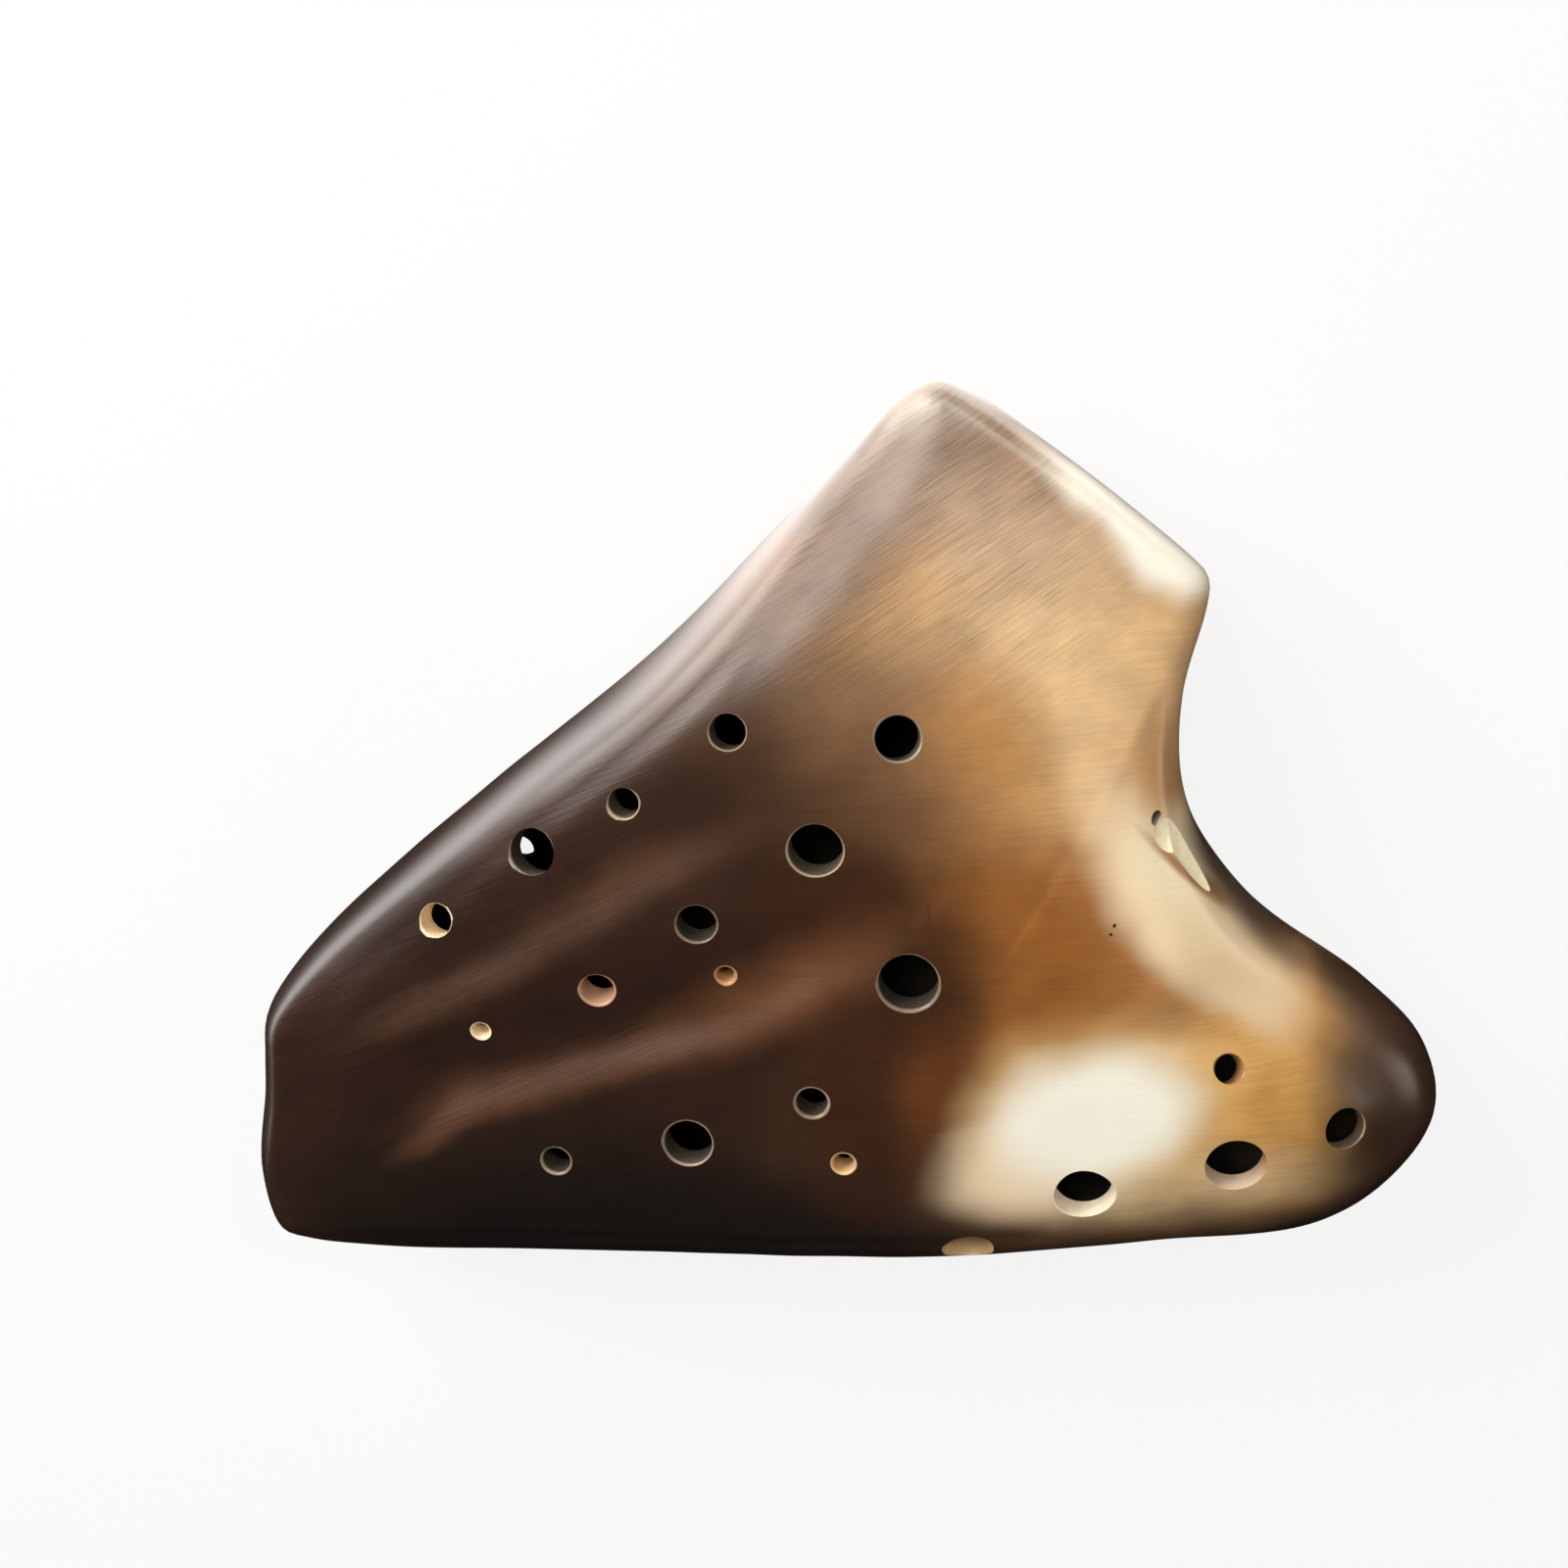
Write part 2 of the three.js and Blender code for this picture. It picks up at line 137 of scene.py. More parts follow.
outline_curve = curve_through([(*plan(knot), knot[2]) for knot in outline_knots], closed=True)
outline = evenly(outline_curve, stations_round)
fold_lines = [
    curve_through([plan(knot) for knot in knots], closed=False)[::3]
    for knots in (fold_knots, second_fold_knots)
]


def inward_of(points):
    return (mouth_middle - points) @ mouth_outward


def valley(points):
    """Depth of the two valleys between the chambers, steeper to the front and fading out at both ends."""
    dips = 0
    for line, depth_there in zip(fold_lines, valley_depths):
        away, nearest = from_line(points, np.hstack([line, line]), False)
        past = away * np.sign((points - nearest) @ frontward) + valley_flank / 2
        dips = dips + depth_there * np.where(
            past > 0, 1 - smoothstep(past, 0, valley_flank), np.exp(-((past / valley_slope) ** 2))
        )
    dips = dips * smoothstep(points[:, 0], *valley_tail)
    return dips * smoothstep(inward_of(points), valley_start, valley_start + valley_run)


def rim_rise(share):
    return (1 - (1 - np.clip(share, 0, 1)) ** rim_power) ** (1 / rim_power)


def heights(points, inset, upper):
    """Height above the seam of the upper face, or depth below it of the underside."""
    away, rim = from_line(points, outline, True)
    rim = rim[:, 0] * (1 if upper else underside_rim)
    swell = smoothstep(inward_of(points), 0, beak_run)
    if upper:
        body = crown + (tail_crown - crown) * smoothstep(-points[:, 0], tail_start, length / 2)
        full = beak_top + (body - beak_top) * swell - (valley(points) if inset else 0)
        full = full - crown_drop * np.exp(-away / crown_drop_reach)
    else:
        full = beak_bottom + (seam_height - beak_bottom) * swell
    rise = rim_rise((away - inset) / np.maximum(rim - inset, least_rim))
    return rise * np.maximum(full - inset, least_rise)


def rim_shares(rings):
    """Shares of the rim at which its rings stand, an equal way apart round its curve."""
    share = 1 - np.cos(np.linspace(0, math.pi / 2, 200))
    run = np.concatenate([[0], np.cumsum(np.hypot(np.diff(share) * 0.5, np.diff(rim_rise(share))))])
    return np.interp(np.linspace(0, run[-1], rings + 1), run, share)


def only(piece):
    """Leaves one object selected and active."""
    bpy.ops.object.select_all(action="DESELECT")
    piece.select_set(True)
    bpy.context.view_layer.objects.active = piece


def pressed(name, segments, rim_rings, inner_rings, inset):
    """A ball of clay pressed to the moulded form, drawn in all round by an inset."""
    bpy.ops.object.select_all(action="DESELECT")
    rings = rim_rings + inner_rings
    bpy.ops.mesh.primitive_uv_sphere_add(segments=segments, ring_count=2 * rings + 2, radius=1)
    piece = bpy.context.object
    piece.name = piece.data.name = name
    stations = evenly(outline_curve, segments)
    points, rim = stations[:, :2], stations[:, 2]
    tangent = np.roll(points, -1, axis=0) - np.roll(points, 1, axis=0)
    to_hub = hub - points
    normal = np.stack([tangent[:, 1], -tangent[:, 0]], axis=1)
    reach = np.abs((normal * to_hub).sum(axis=1)) / np.linalg.norm(normal, axis=1)
    tables = []
    for upper in (True, False):
        own_rim = np.maximum(rim * (1 if upper else underside_rim) - inset, least_rim)
        shares = np.concatenate([rim_shares(rim_rings), np.ones(inner_rings)])
        past = np.concatenate([np.zeros(rim_rings + 1), np.arange(1, inner_rings + 1) / (inner_rings + 1)])
        at = (inset + own_rim * shares[:, None]) / reach
        at = at + (1 - at) * past[:, None]
        spots = points + at[..., None] * to_hub
        spots = np.concatenate([spots, np.broadcast_to(hub, (1, segments, 2))])
        rise = heights(spots.reshape(-1, 2), inset, upper).reshape(spots.shape[:2])
        rise[0] = 0
        tables.append(np.dstack([spots, seam_height + (rise if upper else -rise)]))
    mesh = piece.data
    ball = np.zeros(len(mesh.vertices) * 3)
    mesh.vertices.foreach_get("co", ball)
    ball = ball.reshape(-1, 3)
    around = -np.round(np.arctan2(ball[:, 1], ball[:, 0]) / math.tau * segments).astype(int) % segments
    level = np.round(np.arcsin(np.clip(ball[:, 2], -1, 1)) / math.pi * (2 * rings + 2)).astype(int)
    top, bottom = (table[np.abs(level), around] for table in tables)
    placed = np.where((level >= 0)[:, None], top, bottom)
    mesh.vertices.foreach_set("co", placed.ravel())
    mesh.update()
    return piece


def applied(piece, kind, name, **settings):
    """Adds a modifier to a piece and applies it."""
    only(piece)
    change = piece.modifiers.new(name, kind)
    for key, value in settings.items():
        setattr(change, key, value)
    bpy.ops.object.modifier_apply(modifier=change.name)
    return piece


# Each thumb pass has how far inside the rim it starts, and its number of strokes.
thumb_passes = ((0.0015, 6), (0.003, 8), (0.005, 12), (0.008, 16), (0.012, 16))
kept_edge, fully_evened = 0.0015, 0.007
wave_size, wave_height, wave_middle = 0.022, 0.0004, 0.8


def hand_made(piece):
    """Evens out the face by thumb, more and more away from the rim, and presses the valleys into it."""
    only(piece)
    moulded, co = np.zeros((2, len(piece.data.vertices) * 3))
    piece.data.vertices.foreach_get("co", moulded)
    away = from_line(moulded.reshape(-1, 3)[:, :2], outline, True)[0]
    for elements in (piece.data.edges, piece.data.polygons):
        elements.foreach_set("select", [False] * len(elements))
    for start, strokes in thumb_passes:
        piece.data.vertices.foreach_set("select", away > start)
        bpy.ops.object.mode_set(mode="EDIT")
        bpy.ops.mesh.select_mode(type="VERT")
        bpy.ops.mesh.vertices_smooth(factor=0.5, repeat=strokes)
        bpy.ops.object.mode_set(mode="OBJECT")
    piece.data.vertices.foreach_get("co", co)
    co = moulded + (co - moulded) * np.repeat(smoothstep(away, kept_edge, fully_evened), 3)
    spots = co.reshape(-1, 3)
    spots[:, 2] -= valley(spots[:, :2]) * rim_rise(away / (2 * side)) * (spots[:, 2] > seam_height)
    piece.data.vertices.foreach_set("co", co)
    waves = bpy.data.textures.new("thumb_waves", "CLOUDS")
    waves.noise_scale = wave_size
    waves.noise_depth = 1
    applied(
        piece, "DISPLACE", "thumb_waves", texture=waves, texture_coords="GLOBAL",
        strength=wave_height, mid_level=wave_middle,
    )
    bpy.data.textures.remove(waves)
    for vertex in piece.data.vertices:
        vertex.co.z = max(vertex.co.z, 0)
    return piece


skin = hand_made(pressed("skin", stations_round, rim_rings=14, inner_rings=52, inset=0))
hollow = pressed("hollow", 160, rim_rings=8, inner_rings=20, inset=wall)


# THE TOOLS THAT OPEN THE CLAY
# While the clay is leather-hard the maker punches the finger holes with round tubes, square to the
# face, and rolls their lips smooth. Thumb holes go through the flat back. A groove and a pit are
# scooped beside the mouthpiece.

lip, lip_steps = 0.0005, 5
widest_bore, bore_wear = 0.0098, 0.0004
tube_sides = 56
over = 0.004
above = 0.1
# A finger hole has its place and its bore, all in shares. A thumb hole has its bore in metres.
finger_holes = [
    (-0.076, 0.162, 0.63), (-0.159, 0.079, 0.55), (-0.235, 0.017, 0.82), (-0.318, -0.071, 0.6),
    (0.055, 0.158, 0.76), (-0.007, 0.04, 0.91), (-0.101, -0.048, 0.69), (-0.183, -0.132, 0.6),
    (-0.079, -0.108, 0.34), (-0.282, -0.192, 0.32), (0.067, -0.103, 1), (-0.009, -0.247, 0.56),
    (-0.11, -0.303, 0.84), (-0.221, -0.337, 0.52), (0.017, -0.318, 0.39), (0.212, -0.344, 1.02),
    (0.331, -0.3, 1.03), (0.417, -0.263, 0.76), (0.321, -0.189, 0.53),
]
thumb_holes = [
    (0.256, -0.22, 0.010), (-0.283, -0.074, 0.006), (-0.174, -0.126, 0.008), (-0.117, -0.35, 0.008),
]
edge_hole, edge_hole_bore, edge_hole_lean = (0.12, -0.432), 0.0088, math.radians(44)
# A scoop has its place in shares, its half sizes, its turn and the lift of its middle off the skin.
groove_scoop = ((0.2795, 0.027), (0.0092, 0.0026, 0.0019), math.radians(-50), 0.0012)
pocket_scoop = ((0.265, 0.05), (0.0036, 0.003, 0.0018), math.radians(-50), 0.0011)
pit_scoop = ((0.2555, 0.0685), (0.0008, 0.0012, 0.003), math.radians(-20), 0)
# A pinhole has its place in shares and its bore.
pinhole_places = [((0.226, -0.036), 0.0006), ((0.2235, -0.045), 0.0005), ((0.056, 0.358), 0.0006)]
pinhole_deep = 0.0004

finishes = [bpy.data.materials.new(name) for name in ("smoked_clay", "bare_clay", "worn_lip")]
smoked, bare, worn = finishes


def finished(piece, index=None):
    """Gives a piece the three finishes, and all its faces one of them."""
    piece.data.materials.clear()
    for finish in finishes:
        piece.data.materials.append(finish)
    if index is not None:
        piece.data.polygons.foreach_set("material_index", [index] * len(piece.data.polygons))


def pick_faces(piece, wanted):
    """Goes to edit mode with only the faces whose middle and normal pass the test selected."""
    bpy.context.tool_settings.mesh_select_mode = (False, False, True)
    for vertex in piece.data.vertices:
        vertex.select = False
    for edge in piece.data.edges:
        edge.select = False
    for face in piece.data.polygons:
        face.select = bool(wanted(face.center, face.normal))
    bpy.ops.object.mode_set(mode="EDIT")


def punch(spot, direction, bore, deep):
    """A tube punch standing on the skin at a spot, flared to roll the lip of its hole."""
    bpy.ops.object.select_all(action="DESELECT")
    radius = bore / 2 - lip
    bpy.ops.mesh.primitive_cylinder_add(
        vertices=tube_sides, radius=radius, depth=deep - lip, location=(0, 0, -(deep + lip) / 2)
    )
    tool = bpy.context.object
    bpy.ops.object.transform_apply(location=True, rotation=False, scale=False)
    pick_faces(tool, lambda middle, normal: normal.z > 0.9)
    wide, height = radius, -lip
    for step in range(1, lip_steps + 1):
        angle = step * math.pi / (2 * lip_steps)
        wider, higher = radius + lip * (1 - math.cos(angle)), lip * (math.sin(angle) - 1)
        bpy.ops.mesh.extrude_region_move(TRANSFORM_OT_translate={"value": (0, 0, higher - height)})
        bpy.ops.transform.resize(value=(wider / wide, wider / wide, 1), center_override=(0, 0, higher))
        wide, height = wider, higher
    bpy.ops.mesh.extrude_region_move(TRANSFORM_OT_translate={"value": (0, 0, over)})
    bpy.ops.object.mode_set(mode="OBJECT")
    finished(tool)
    for face in tool.data.polygons:
        face.material_index = 2 if -lip < face.center.z < 0 else 1
    turn = Vector((0, 0, 1)).rotation_difference(Vector(direction))
    tool.data.transform(Matrix.Translation(Vector(spot)) @ turn.to_matrix().to_4x4())
    return tool


def on_face(shares):
    """A spot on the upper face, and the direction square to the face there."""
    spot, direction = skin.ray_cast((*plan(shares), above), (0, 0, -1))[1:3]
    return spot, direction


def joined(tools, name):
    """Several tools as one object."""
    bpy.ops.object.select_all(action="DESELECT")
    for tool in tools:
        tool.select_set(True)
    bpy.context.view_layer.objects.active = tools[0]
    bpy.ops.object.join()
    tools[0].name = name
    return tools[0]


def cut(piece, tool, operation="DIFFERENCE"):
    applied(piece, "BOOLEAN", "cut", operation=operation, object=tool, solver="MANIFOLD")
    return piece


finger_punches = []
for x_share, y_share, bore_share in finger_holes:
    spot, direction = on_face((x_share, y_share))
    finger_punches.append(punch(spot, direction, bore_share * widest_bore + bore_wear, wall + over))
edge_direction = (0, -math.sin(edge_hole_lean), math.cos(edge_hole_lean))
finger_punches.append(punch(on_face(edge_hole)[0], edge_direction, edge_hole_bore, wall + over))
finger_tool = joined(finger_punches, "finger_tool")


def scoop(shares, half, turn, lift):
    """An egg-shaped scoop lying on the skin, turned in the face, its middle lifted off it."""
    spot, direction = on_face(shares)
    bpy.ops.object.select_all(action="DESELECT")
    bpy.ops.mesh.primitive_uv_sphere_add(segments=48, ring_count=24, radius=1, scale=half)
    tool = bpy.context.object
    bpy.ops.object.transform_apply(location=False, rotation=False, scale=True)
    lean = Vector((0, 0, 1)).rotation_difference(direction).to_matrix().to_4x4()
    tool.data.transform(Matrix.Translation(spot + lift * direction) @ lean @ Matrix.Rotation(turn, 4, "Z"))
    finished(tool, 1)
    return tool


waist_groove, waist_pocket, waist_pit = (
    scoop(*values) for values in (groove_scoop, pocket_scoop, pit_scoop)
)
pinholes = [
    scoop(shares, (bore / 2, bore / 2, pinhole_deep), 0, 0) for shares, bore in pinhole_places
]
pinhole_tool = joined([waist_pit, *pinholes], "pinhole_tool")
thumb_tool = joined(
    [punch((*plan(hole), 0), (0, 0, -1), hole[2], wall + over) for hole in thumb_holes], "thumb_tool"
)


# THE MOUTHPIECE TOOLS
# Three flat sticks leave the windways in the mouthpiece, one for each chamber. A knife opens a window
# behind each in the back, and slants its far side to the sounding edge.

beak_length, windway_pitch = 0.030, 0.0155
# A voice has its place along the mouth, the width of its windway and the length of its window.
voices = [(windway_pitch, 0.0125, 0.0075), (0, 0.011, 0.0065), (-windway_pitch, 0.0095, 0.0055)]
windway_height, windway_mouth_depth, windway_floor = 0.0019, 0.0043, 0.0024
labium_angle = math.radians(33)
stick_edge, ramp_overlap = 0.0004, 0.001
mouth_turn = math.atan2(mouth_along[1], mouth_along[0])

inner_keel = beak_bottom + (seam_height - beak_bottom) * smoothstep(beak_length, 0, beak_run)
floor_at_mouth = seam_height - windway_mouth_depth
floor_slope = (floor_at_mouth - (seam_height - inner_keel + windway_floor)) / beak_length


def beak_block(along, inward, low, high, width, tilt=0):
    """A block in line with the mouthpiece, between two depths and two heights, its mouth end tilted up."""
    middle = mouth_middle + along * mouth_along - sum(inward) / 2 * mouth_outward
    bpy.ops.object.select_all(action="DESELECT")
    bpy.ops.mesh.primitive_cube_add(
        size=1,
        location=(*middle, (low + high) / 2),
        rotation=(tilt, 0, mouth_turn),
        scale=(width, (inward[1] - inward[0]) / math.cos(tilt), high - low),
    )
    bpy.ops.object.transform_apply(location=True, rotation=True, scale=True)
    return bpy.context.object


def floor_height(inward):
    return floor_at_mouth - floor_slope * inward


stick_reach = (-over, beak_length + over)
stick_middle = floor_height(sum(stick_reach) / 2)
sticks, knives, ramps = [], [], []
for along, width, window in voices:
    stick = beak_block(
        along, stick_reach, stick_middle, stick_middle + windway_height, width, math.atan(floor_slope)
    )
    sticks.append(applied(stick, "BEVEL", "worn_edges", width=stick_edge, segments=3))
    edge_inward = beak_length + window
    edge_height = floor_height(edge_inward) + windway_height / 2
    ramp_end = edge_inward + (edge_height + over) / math.tan(labium_angle)
    knives.append(beak_block(along, (beak_length - over, edge_inward), -over, seam_height - wall, width))
    ramp = beak_block(along, (edge_inward - ramp_overlap, ramp_end), -over, edge_height, width)
    only(ramp)
    pick_faces(ramp, lambda middle, normal: True)
    edge_point = mouth_middle - edge_inward * mouth_outward
    slope = (*(-math.sin(labium_angle) * mouth_outward), math.cos(labium_angle))
    bpy.ops.mesh.bisect(
        plane_co=(*edge_point, edge_height), plane_no=slope, use_fill=True, clear_outer=True, threshold=1e-6
    )
    bpy.ops.object.mode_set(mode="OBJECT")
    ramps.append(ramp)
stick_tool, knife_tool = joined(sticks, "sticks"), joined(knives, "knives")
ramp_tool = joined(ramps, "ramps")


# THE TWO HALVES AND THE MOUTHPIECE
# Each half is a shell about 5 mm thick. The mouthpiece is solid but for its windways. All three are
# luted with slip and burnished as one skin, so their joints can't be seen or felt.

shading_angle = math.radians(35)
for tool in (hollow, stick_tool, knife_tool, ramp_tool):
    finished(tool, 1)
finished(skin, 0)


def luted(name, space, tools, nodes):
    """Takes one moulded piece out of the skin, opens it with its tools and burnishes it."""
    piece = skin.copy()
    piece.data = skin.data.copy()
    piece.name = piece.data.name = name
    bpy.context.scene.collection.objects.link(piece)
    finished(space, 1)
    cut(piece, space, "INTERSECT")
    for tool in tools:
        cut(piece, tool)
    only(piece)
    bpy.ops.object.shade_smooth_by_angle(angle=shading_angle)
    outer = piece.vertex_groups.new(name="outer")
    skin_faces = [face for face in piece.data.polygons if face.material_index == 0]
    outer.add(sorted({vertex for face in skin_faces for vertex in face.vertices}), 1, "REPLACE")
    applied(
        piece, "DATA_TRANSFER", "one_skin", object=skin, use_loop_data=True,
        data_types_loops={"CUSTOM_NORMAL"}, loop_mapping="POLYINTERP_NEAREST", vertex_group="outer",
    )
    piece.vertex_groups.clear()
    bpy.data.objects.remove(space)
    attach(piece, "root")
    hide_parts(*nodes)


only(skin)
bpy.ops.object.shade_smooth()
far = 0.3
luted(
    "upper_half", beak_block(0, (beak_length, far), seam_height, far, 2 * far),
    (hollow, finger_tool, waist_groove, waist_pocket, pinhole_tool), ["top_shell"],
)
luted(
    "lower_half", beak_block(0, (beak_length, far), -far, seam_height, 2 * far),
    (hollow, knife_tool, ramp_tool, thumb_tool), ["bottom_shell"],
)
luted(
    "mouthpiece", beak_block(0, (-far, beak_length), -far, far, 2 * far),
    (stick_tool,), ["mouthpiece_block", "windway_floor"],
)
for tool in (
    skin, hollow, finger_tool, waist_groove, waist_pocket, pinhole_tool, thumb_tool,
    stick_tool, knife_tool, ramp_tool,
):
    bpy.data.objects.remove(tool)


# THE BURNISHED, SMOKED SKIN
# The outside is rubbed with a smooth stone and fired in smoke. Soot clouds it from gold to black, and
# flame leaves cream flashes at the mouthpiece, the waist and the front of the bulb side. Some marks are
# painted light: sheen on the beak and the upper-left edges, highlights on the folds and shade on the front
# rim.


class Wire:
    """A socket in a finish's nodes. Sums on it add Math nodes, and node adds any other kind."""

    def __init__(self, tree, socket=None):
        self.tree, self.socket = tree, socket

    def node(self, kind, settings=(), inputs=(), output=0):
        made = self.tree.nodes.new(kind)
        for key, value in dict(settings).items():
            setattr(made, key, value)
        for key, value in dict(inputs).items():
            if isinstance(value, Wire):
                self.tree.links.new(value.socket, made.inputs[key])
            else:
                made.inputs[key].default_value = value
        return Wire(self.tree, made.outputs[output] if made.outputs else None)

    def math(self, operation, a, b):
        return self.node("ShaderNodeMath", {"operation": operation}, {0: a, 1: b})

    def __add__(self, other):
        return self.math("ADD", self, other)

    def __radd__(self, other):
        return self.math("ADD", other, self)

    def __sub__(self, other):
        return self.math("SUBTRACT", self, other)

    def __rsub__(self, other):
        return self.math("SUBTRACT", other, self)

    def __mul__(self, other):
        return self.math("MULTIPLY", self, other)

    def __rmul__(self, other):
        return self.math("MULTIPLY", other, self)


def clay_colour(red, green, blue):
    """A colour as the eye names it, from 0 to 255, for a finish."""
    values = [c / 255 for c in (red, green, blue)]
    return (*[c / 12.92 if c <= 0.04045 else ((c + 0.055) / 1.055) ** 2.4 for c in values], 1)


def cloud(at, size, detail, seed, output=0):
    """Soft clouds about a size across."""
    return at.node(
        "ShaderNodeTexNoise", {"noise_dimensions": "4D"},
        {"Vector": at, "W": seed, "Scale": 1 / size, "Detail": detail, "Roughness": 0.5}, output,
    )


def fade(value, low, high):
    """0 up to low, 1 from high on, and a soft change between them."""
    return value.node(
        "ShaderNodeMapRange", {"interpolation_type": "SMOOTHSTEP"},
        {"Value": value, "From Min": low, "From Max": high, "To Min": 0, "To Max": 1},
    )


def blend(share, under, over):
    return share.node("ShaderNodeMix", {"data_type": "RGBA"}, {0: share, 6: under, 7: over}, 2)


def laid_along(at, middle, half, turn):
    """Coordinates measured in the half sizes of a mark that is turned on the face, in mm and degrees."""
    return at.node(
        "ShaderNodeMapping", {"vector_type": "TEXTURE"},
        {
            "Vector": at,
            "Location": [x / 1000 for x in middle],
            "Rotation": (0, 0, math.radians(turn)),
            "Scale": [x / 1000 for x in half],
        },
    )


def mark(at, middle, half, turn, soft):
    """1 inside an egg-shaped mark, fading to 0 across its edge."""
    place = laid_along(at, middle, half, turn)
    away = at.node("ShaderNodeVectorMath", {"operation": "LENGTH"}, {0: place}, 1)
    return 1 - fade(away, 1 - soft, 1 + soft)


def strokes(at, turn, long, wide, seed):
    """Burnishing strokes that run along a direction, broad ones with fine ones in them."""
    broad = cloud(laid_along(at, (0, 0, 0), (2 * long, 4 * wide, 9), turn), 1, 1, seed)
    fine = cloud(laid_along(at, (0, 0, 0), (long, wide, 6), turn), 1, 1, seed + 0.5)
    return broad * 0.2 + fine * 0.8 - 0.5


def wandering(at, size, reach, seed):
    """The coordinates drawn about by up to a reach, so that an edge laid on them wanders."""
    push = cloud(at, size, 2, seed, 1)
    push = at.node("ShaderNodeVectorMath", {"operation": "SUBTRACT"}, {0: push, 1: (0.5, 0.5, 0.5)})
    push = at.node("ShaderNodeVectorMath", {"operation": "SCALE"}, {0: push, 3: 2 * reach})
    return at.node("ShaderNodeVectorMath", {"operation": "ADD"}, {0: at, 1: push})


def toned(colour, tone):
    """A colour made lighter or darker by a share."""
    return colour.node("ShaderNodeVectorMath", {"operation": "SCALE"}, {0: colour, 3: tone})


def with_marks(at, shade, marks):
    """Lays coloured marks over a shade, one after the other."""
    for colour, middle, half, turn, soft, strength in marks:
        shade = blend(mark(at, middle, half, turn, soft) * strength, shade, clay_colour(*colour))
    return shade


def finish_nodes(material):
    material.use_nodes = True
    tree = material.node_tree
    tree.nodes.clear()
    start = Wire(tree)
    return start, start.node("ShaderNodeTexCoord", output=3)


def burnt_in(start, inputs):
    """Ends a finish in its shader."""
    shader = start.node("ShaderNodeBsdfPrincipled", {}, inputs)
    start.node("ShaderNodeOutputMaterial", {}, {0: shader})


# Each mark is its colour, middle, half sizes, turn, softness and strength. Sizes are in millimetres.
smoke_and_painted_light_marks = [
    ((196, 150, 98), (50, 10, 40), (52, 56, 45), 0, 0.4, 1.0),
    ((148, 92, 40), (27, -10, 42), (28, 20, 30), -10, 0.6, 1.0),
    ((228, 190, 140), (34, 34, 35), (21, 18, 30), -10, 0.7, 1.0),
    ((190, 160, 132), (22, 62, 30), (24, 13, 30), -36, 0.6, 0.9),
    ((152, 122, 98), (27, 62, 30), (8, 6, 30), -30, 0.8, 0.5),
    # Painted sheen: the beak's left is grey-brown clay painted lighter, its left edge gets a paler painted
    # sheen and its tip a painted highlight.
    ((130, 106, 88), (1, 57, 30), (38, 10.5, 30), 44, 0.6, 0.9),
    ((124, 108, 95), (-3, 63, 16), (32, 6.5, 22), 43, 0.6, 0.85),
    ((204, 190, 172), (15, 73, 26), (10, 5, 20), -10, 0.7, 0.5),
    # A pale ash tone along the upper-left edge of the tail, with the window's sheen painted into it.
    ((160, 144, 130), (-50, 14, 16), (46, 4.5, 16), 41, 0.6, 0.9),
    ((122, 84, 54), (12, 20, 42), (13, 20, 30), -30, 0.7, 0.8),
    ((192, 136, 70), (24, 22, 42), (8, 10, 20), 20, 0.8, 0.7),
    ((56, 34, 22), (-60, -18, 40), (77, 62, 60), 16, 0.32, 1.0),
    ((44, 25, 15), (-70, -36, 40), (62, 42, 60), 0, 0.5, 0.9),
    # Near-black along the front: soot, and painted shade on the front rim, which is turned away from the
    # window.
    ((20, 12, 8), (-22, -66, 36), (64, 21, 40), 0, 0.5, 0.95),
    ((52, 26, 12), (10, -34, 42), (15, 22, 24), 0, 0.5, 0.9),
    ((104, 58, 24), (18, -32, 42), (6, 14, 20), -10, 0.7, 0.8),
    ((60, 32, 15), (4, -4, 42), (14, 9, 20), -20, 0.6, 0.8),
    # Painted highlights: lighter brown strips along the flanks of the two folds that face the window.
    ((102, 64, 38), (-7, -18, 42), (20, 6, 20), 28, 0.7, 0.85),
    ((84, 54, 35), (-40, -34.5, 40), (24, 3.4, 20), 23, 0.7, 0.75),
    ((84, 54, 35), (-62, -46.5, 40), (9, 2, 20), 38, 0.7, 0.6),
    ((84, 58, 42), (-58, -21, 40), (18, 3, 20), 30, 0.8, 0.6),
    ((88, 60, 42), (-28, -1, 40), (15, 3.5, 20), 30, 0.8, 0.6),
    ((208, 156, 86), (70, -33, 38), (14, 19, 30), 0, 0.6, 1.0),
    ((54, 34, 22), (97, -38, 32), (19, 26, 28), 14, 0.45, 0.95),
    # Near-black and dark brown on the front rim of the bulb and beside it: soot, and painted shade.
    ((22, 13, 7), (83, -63, 32), (34, 11, 20), 24, 0.5, 0.9),
    ((60, 38, 23), (46, -70, 32), (28, 9, 20), 4, 0.5, 0.8),
    ((238, 202, 150), (56, -50, 38), (20, 6, 20), 8, 0.6, 0.9),
    ((34, 20, 11), (19, -15, 42), (8, 8, 12), 0, 0.8, 0.6),
]
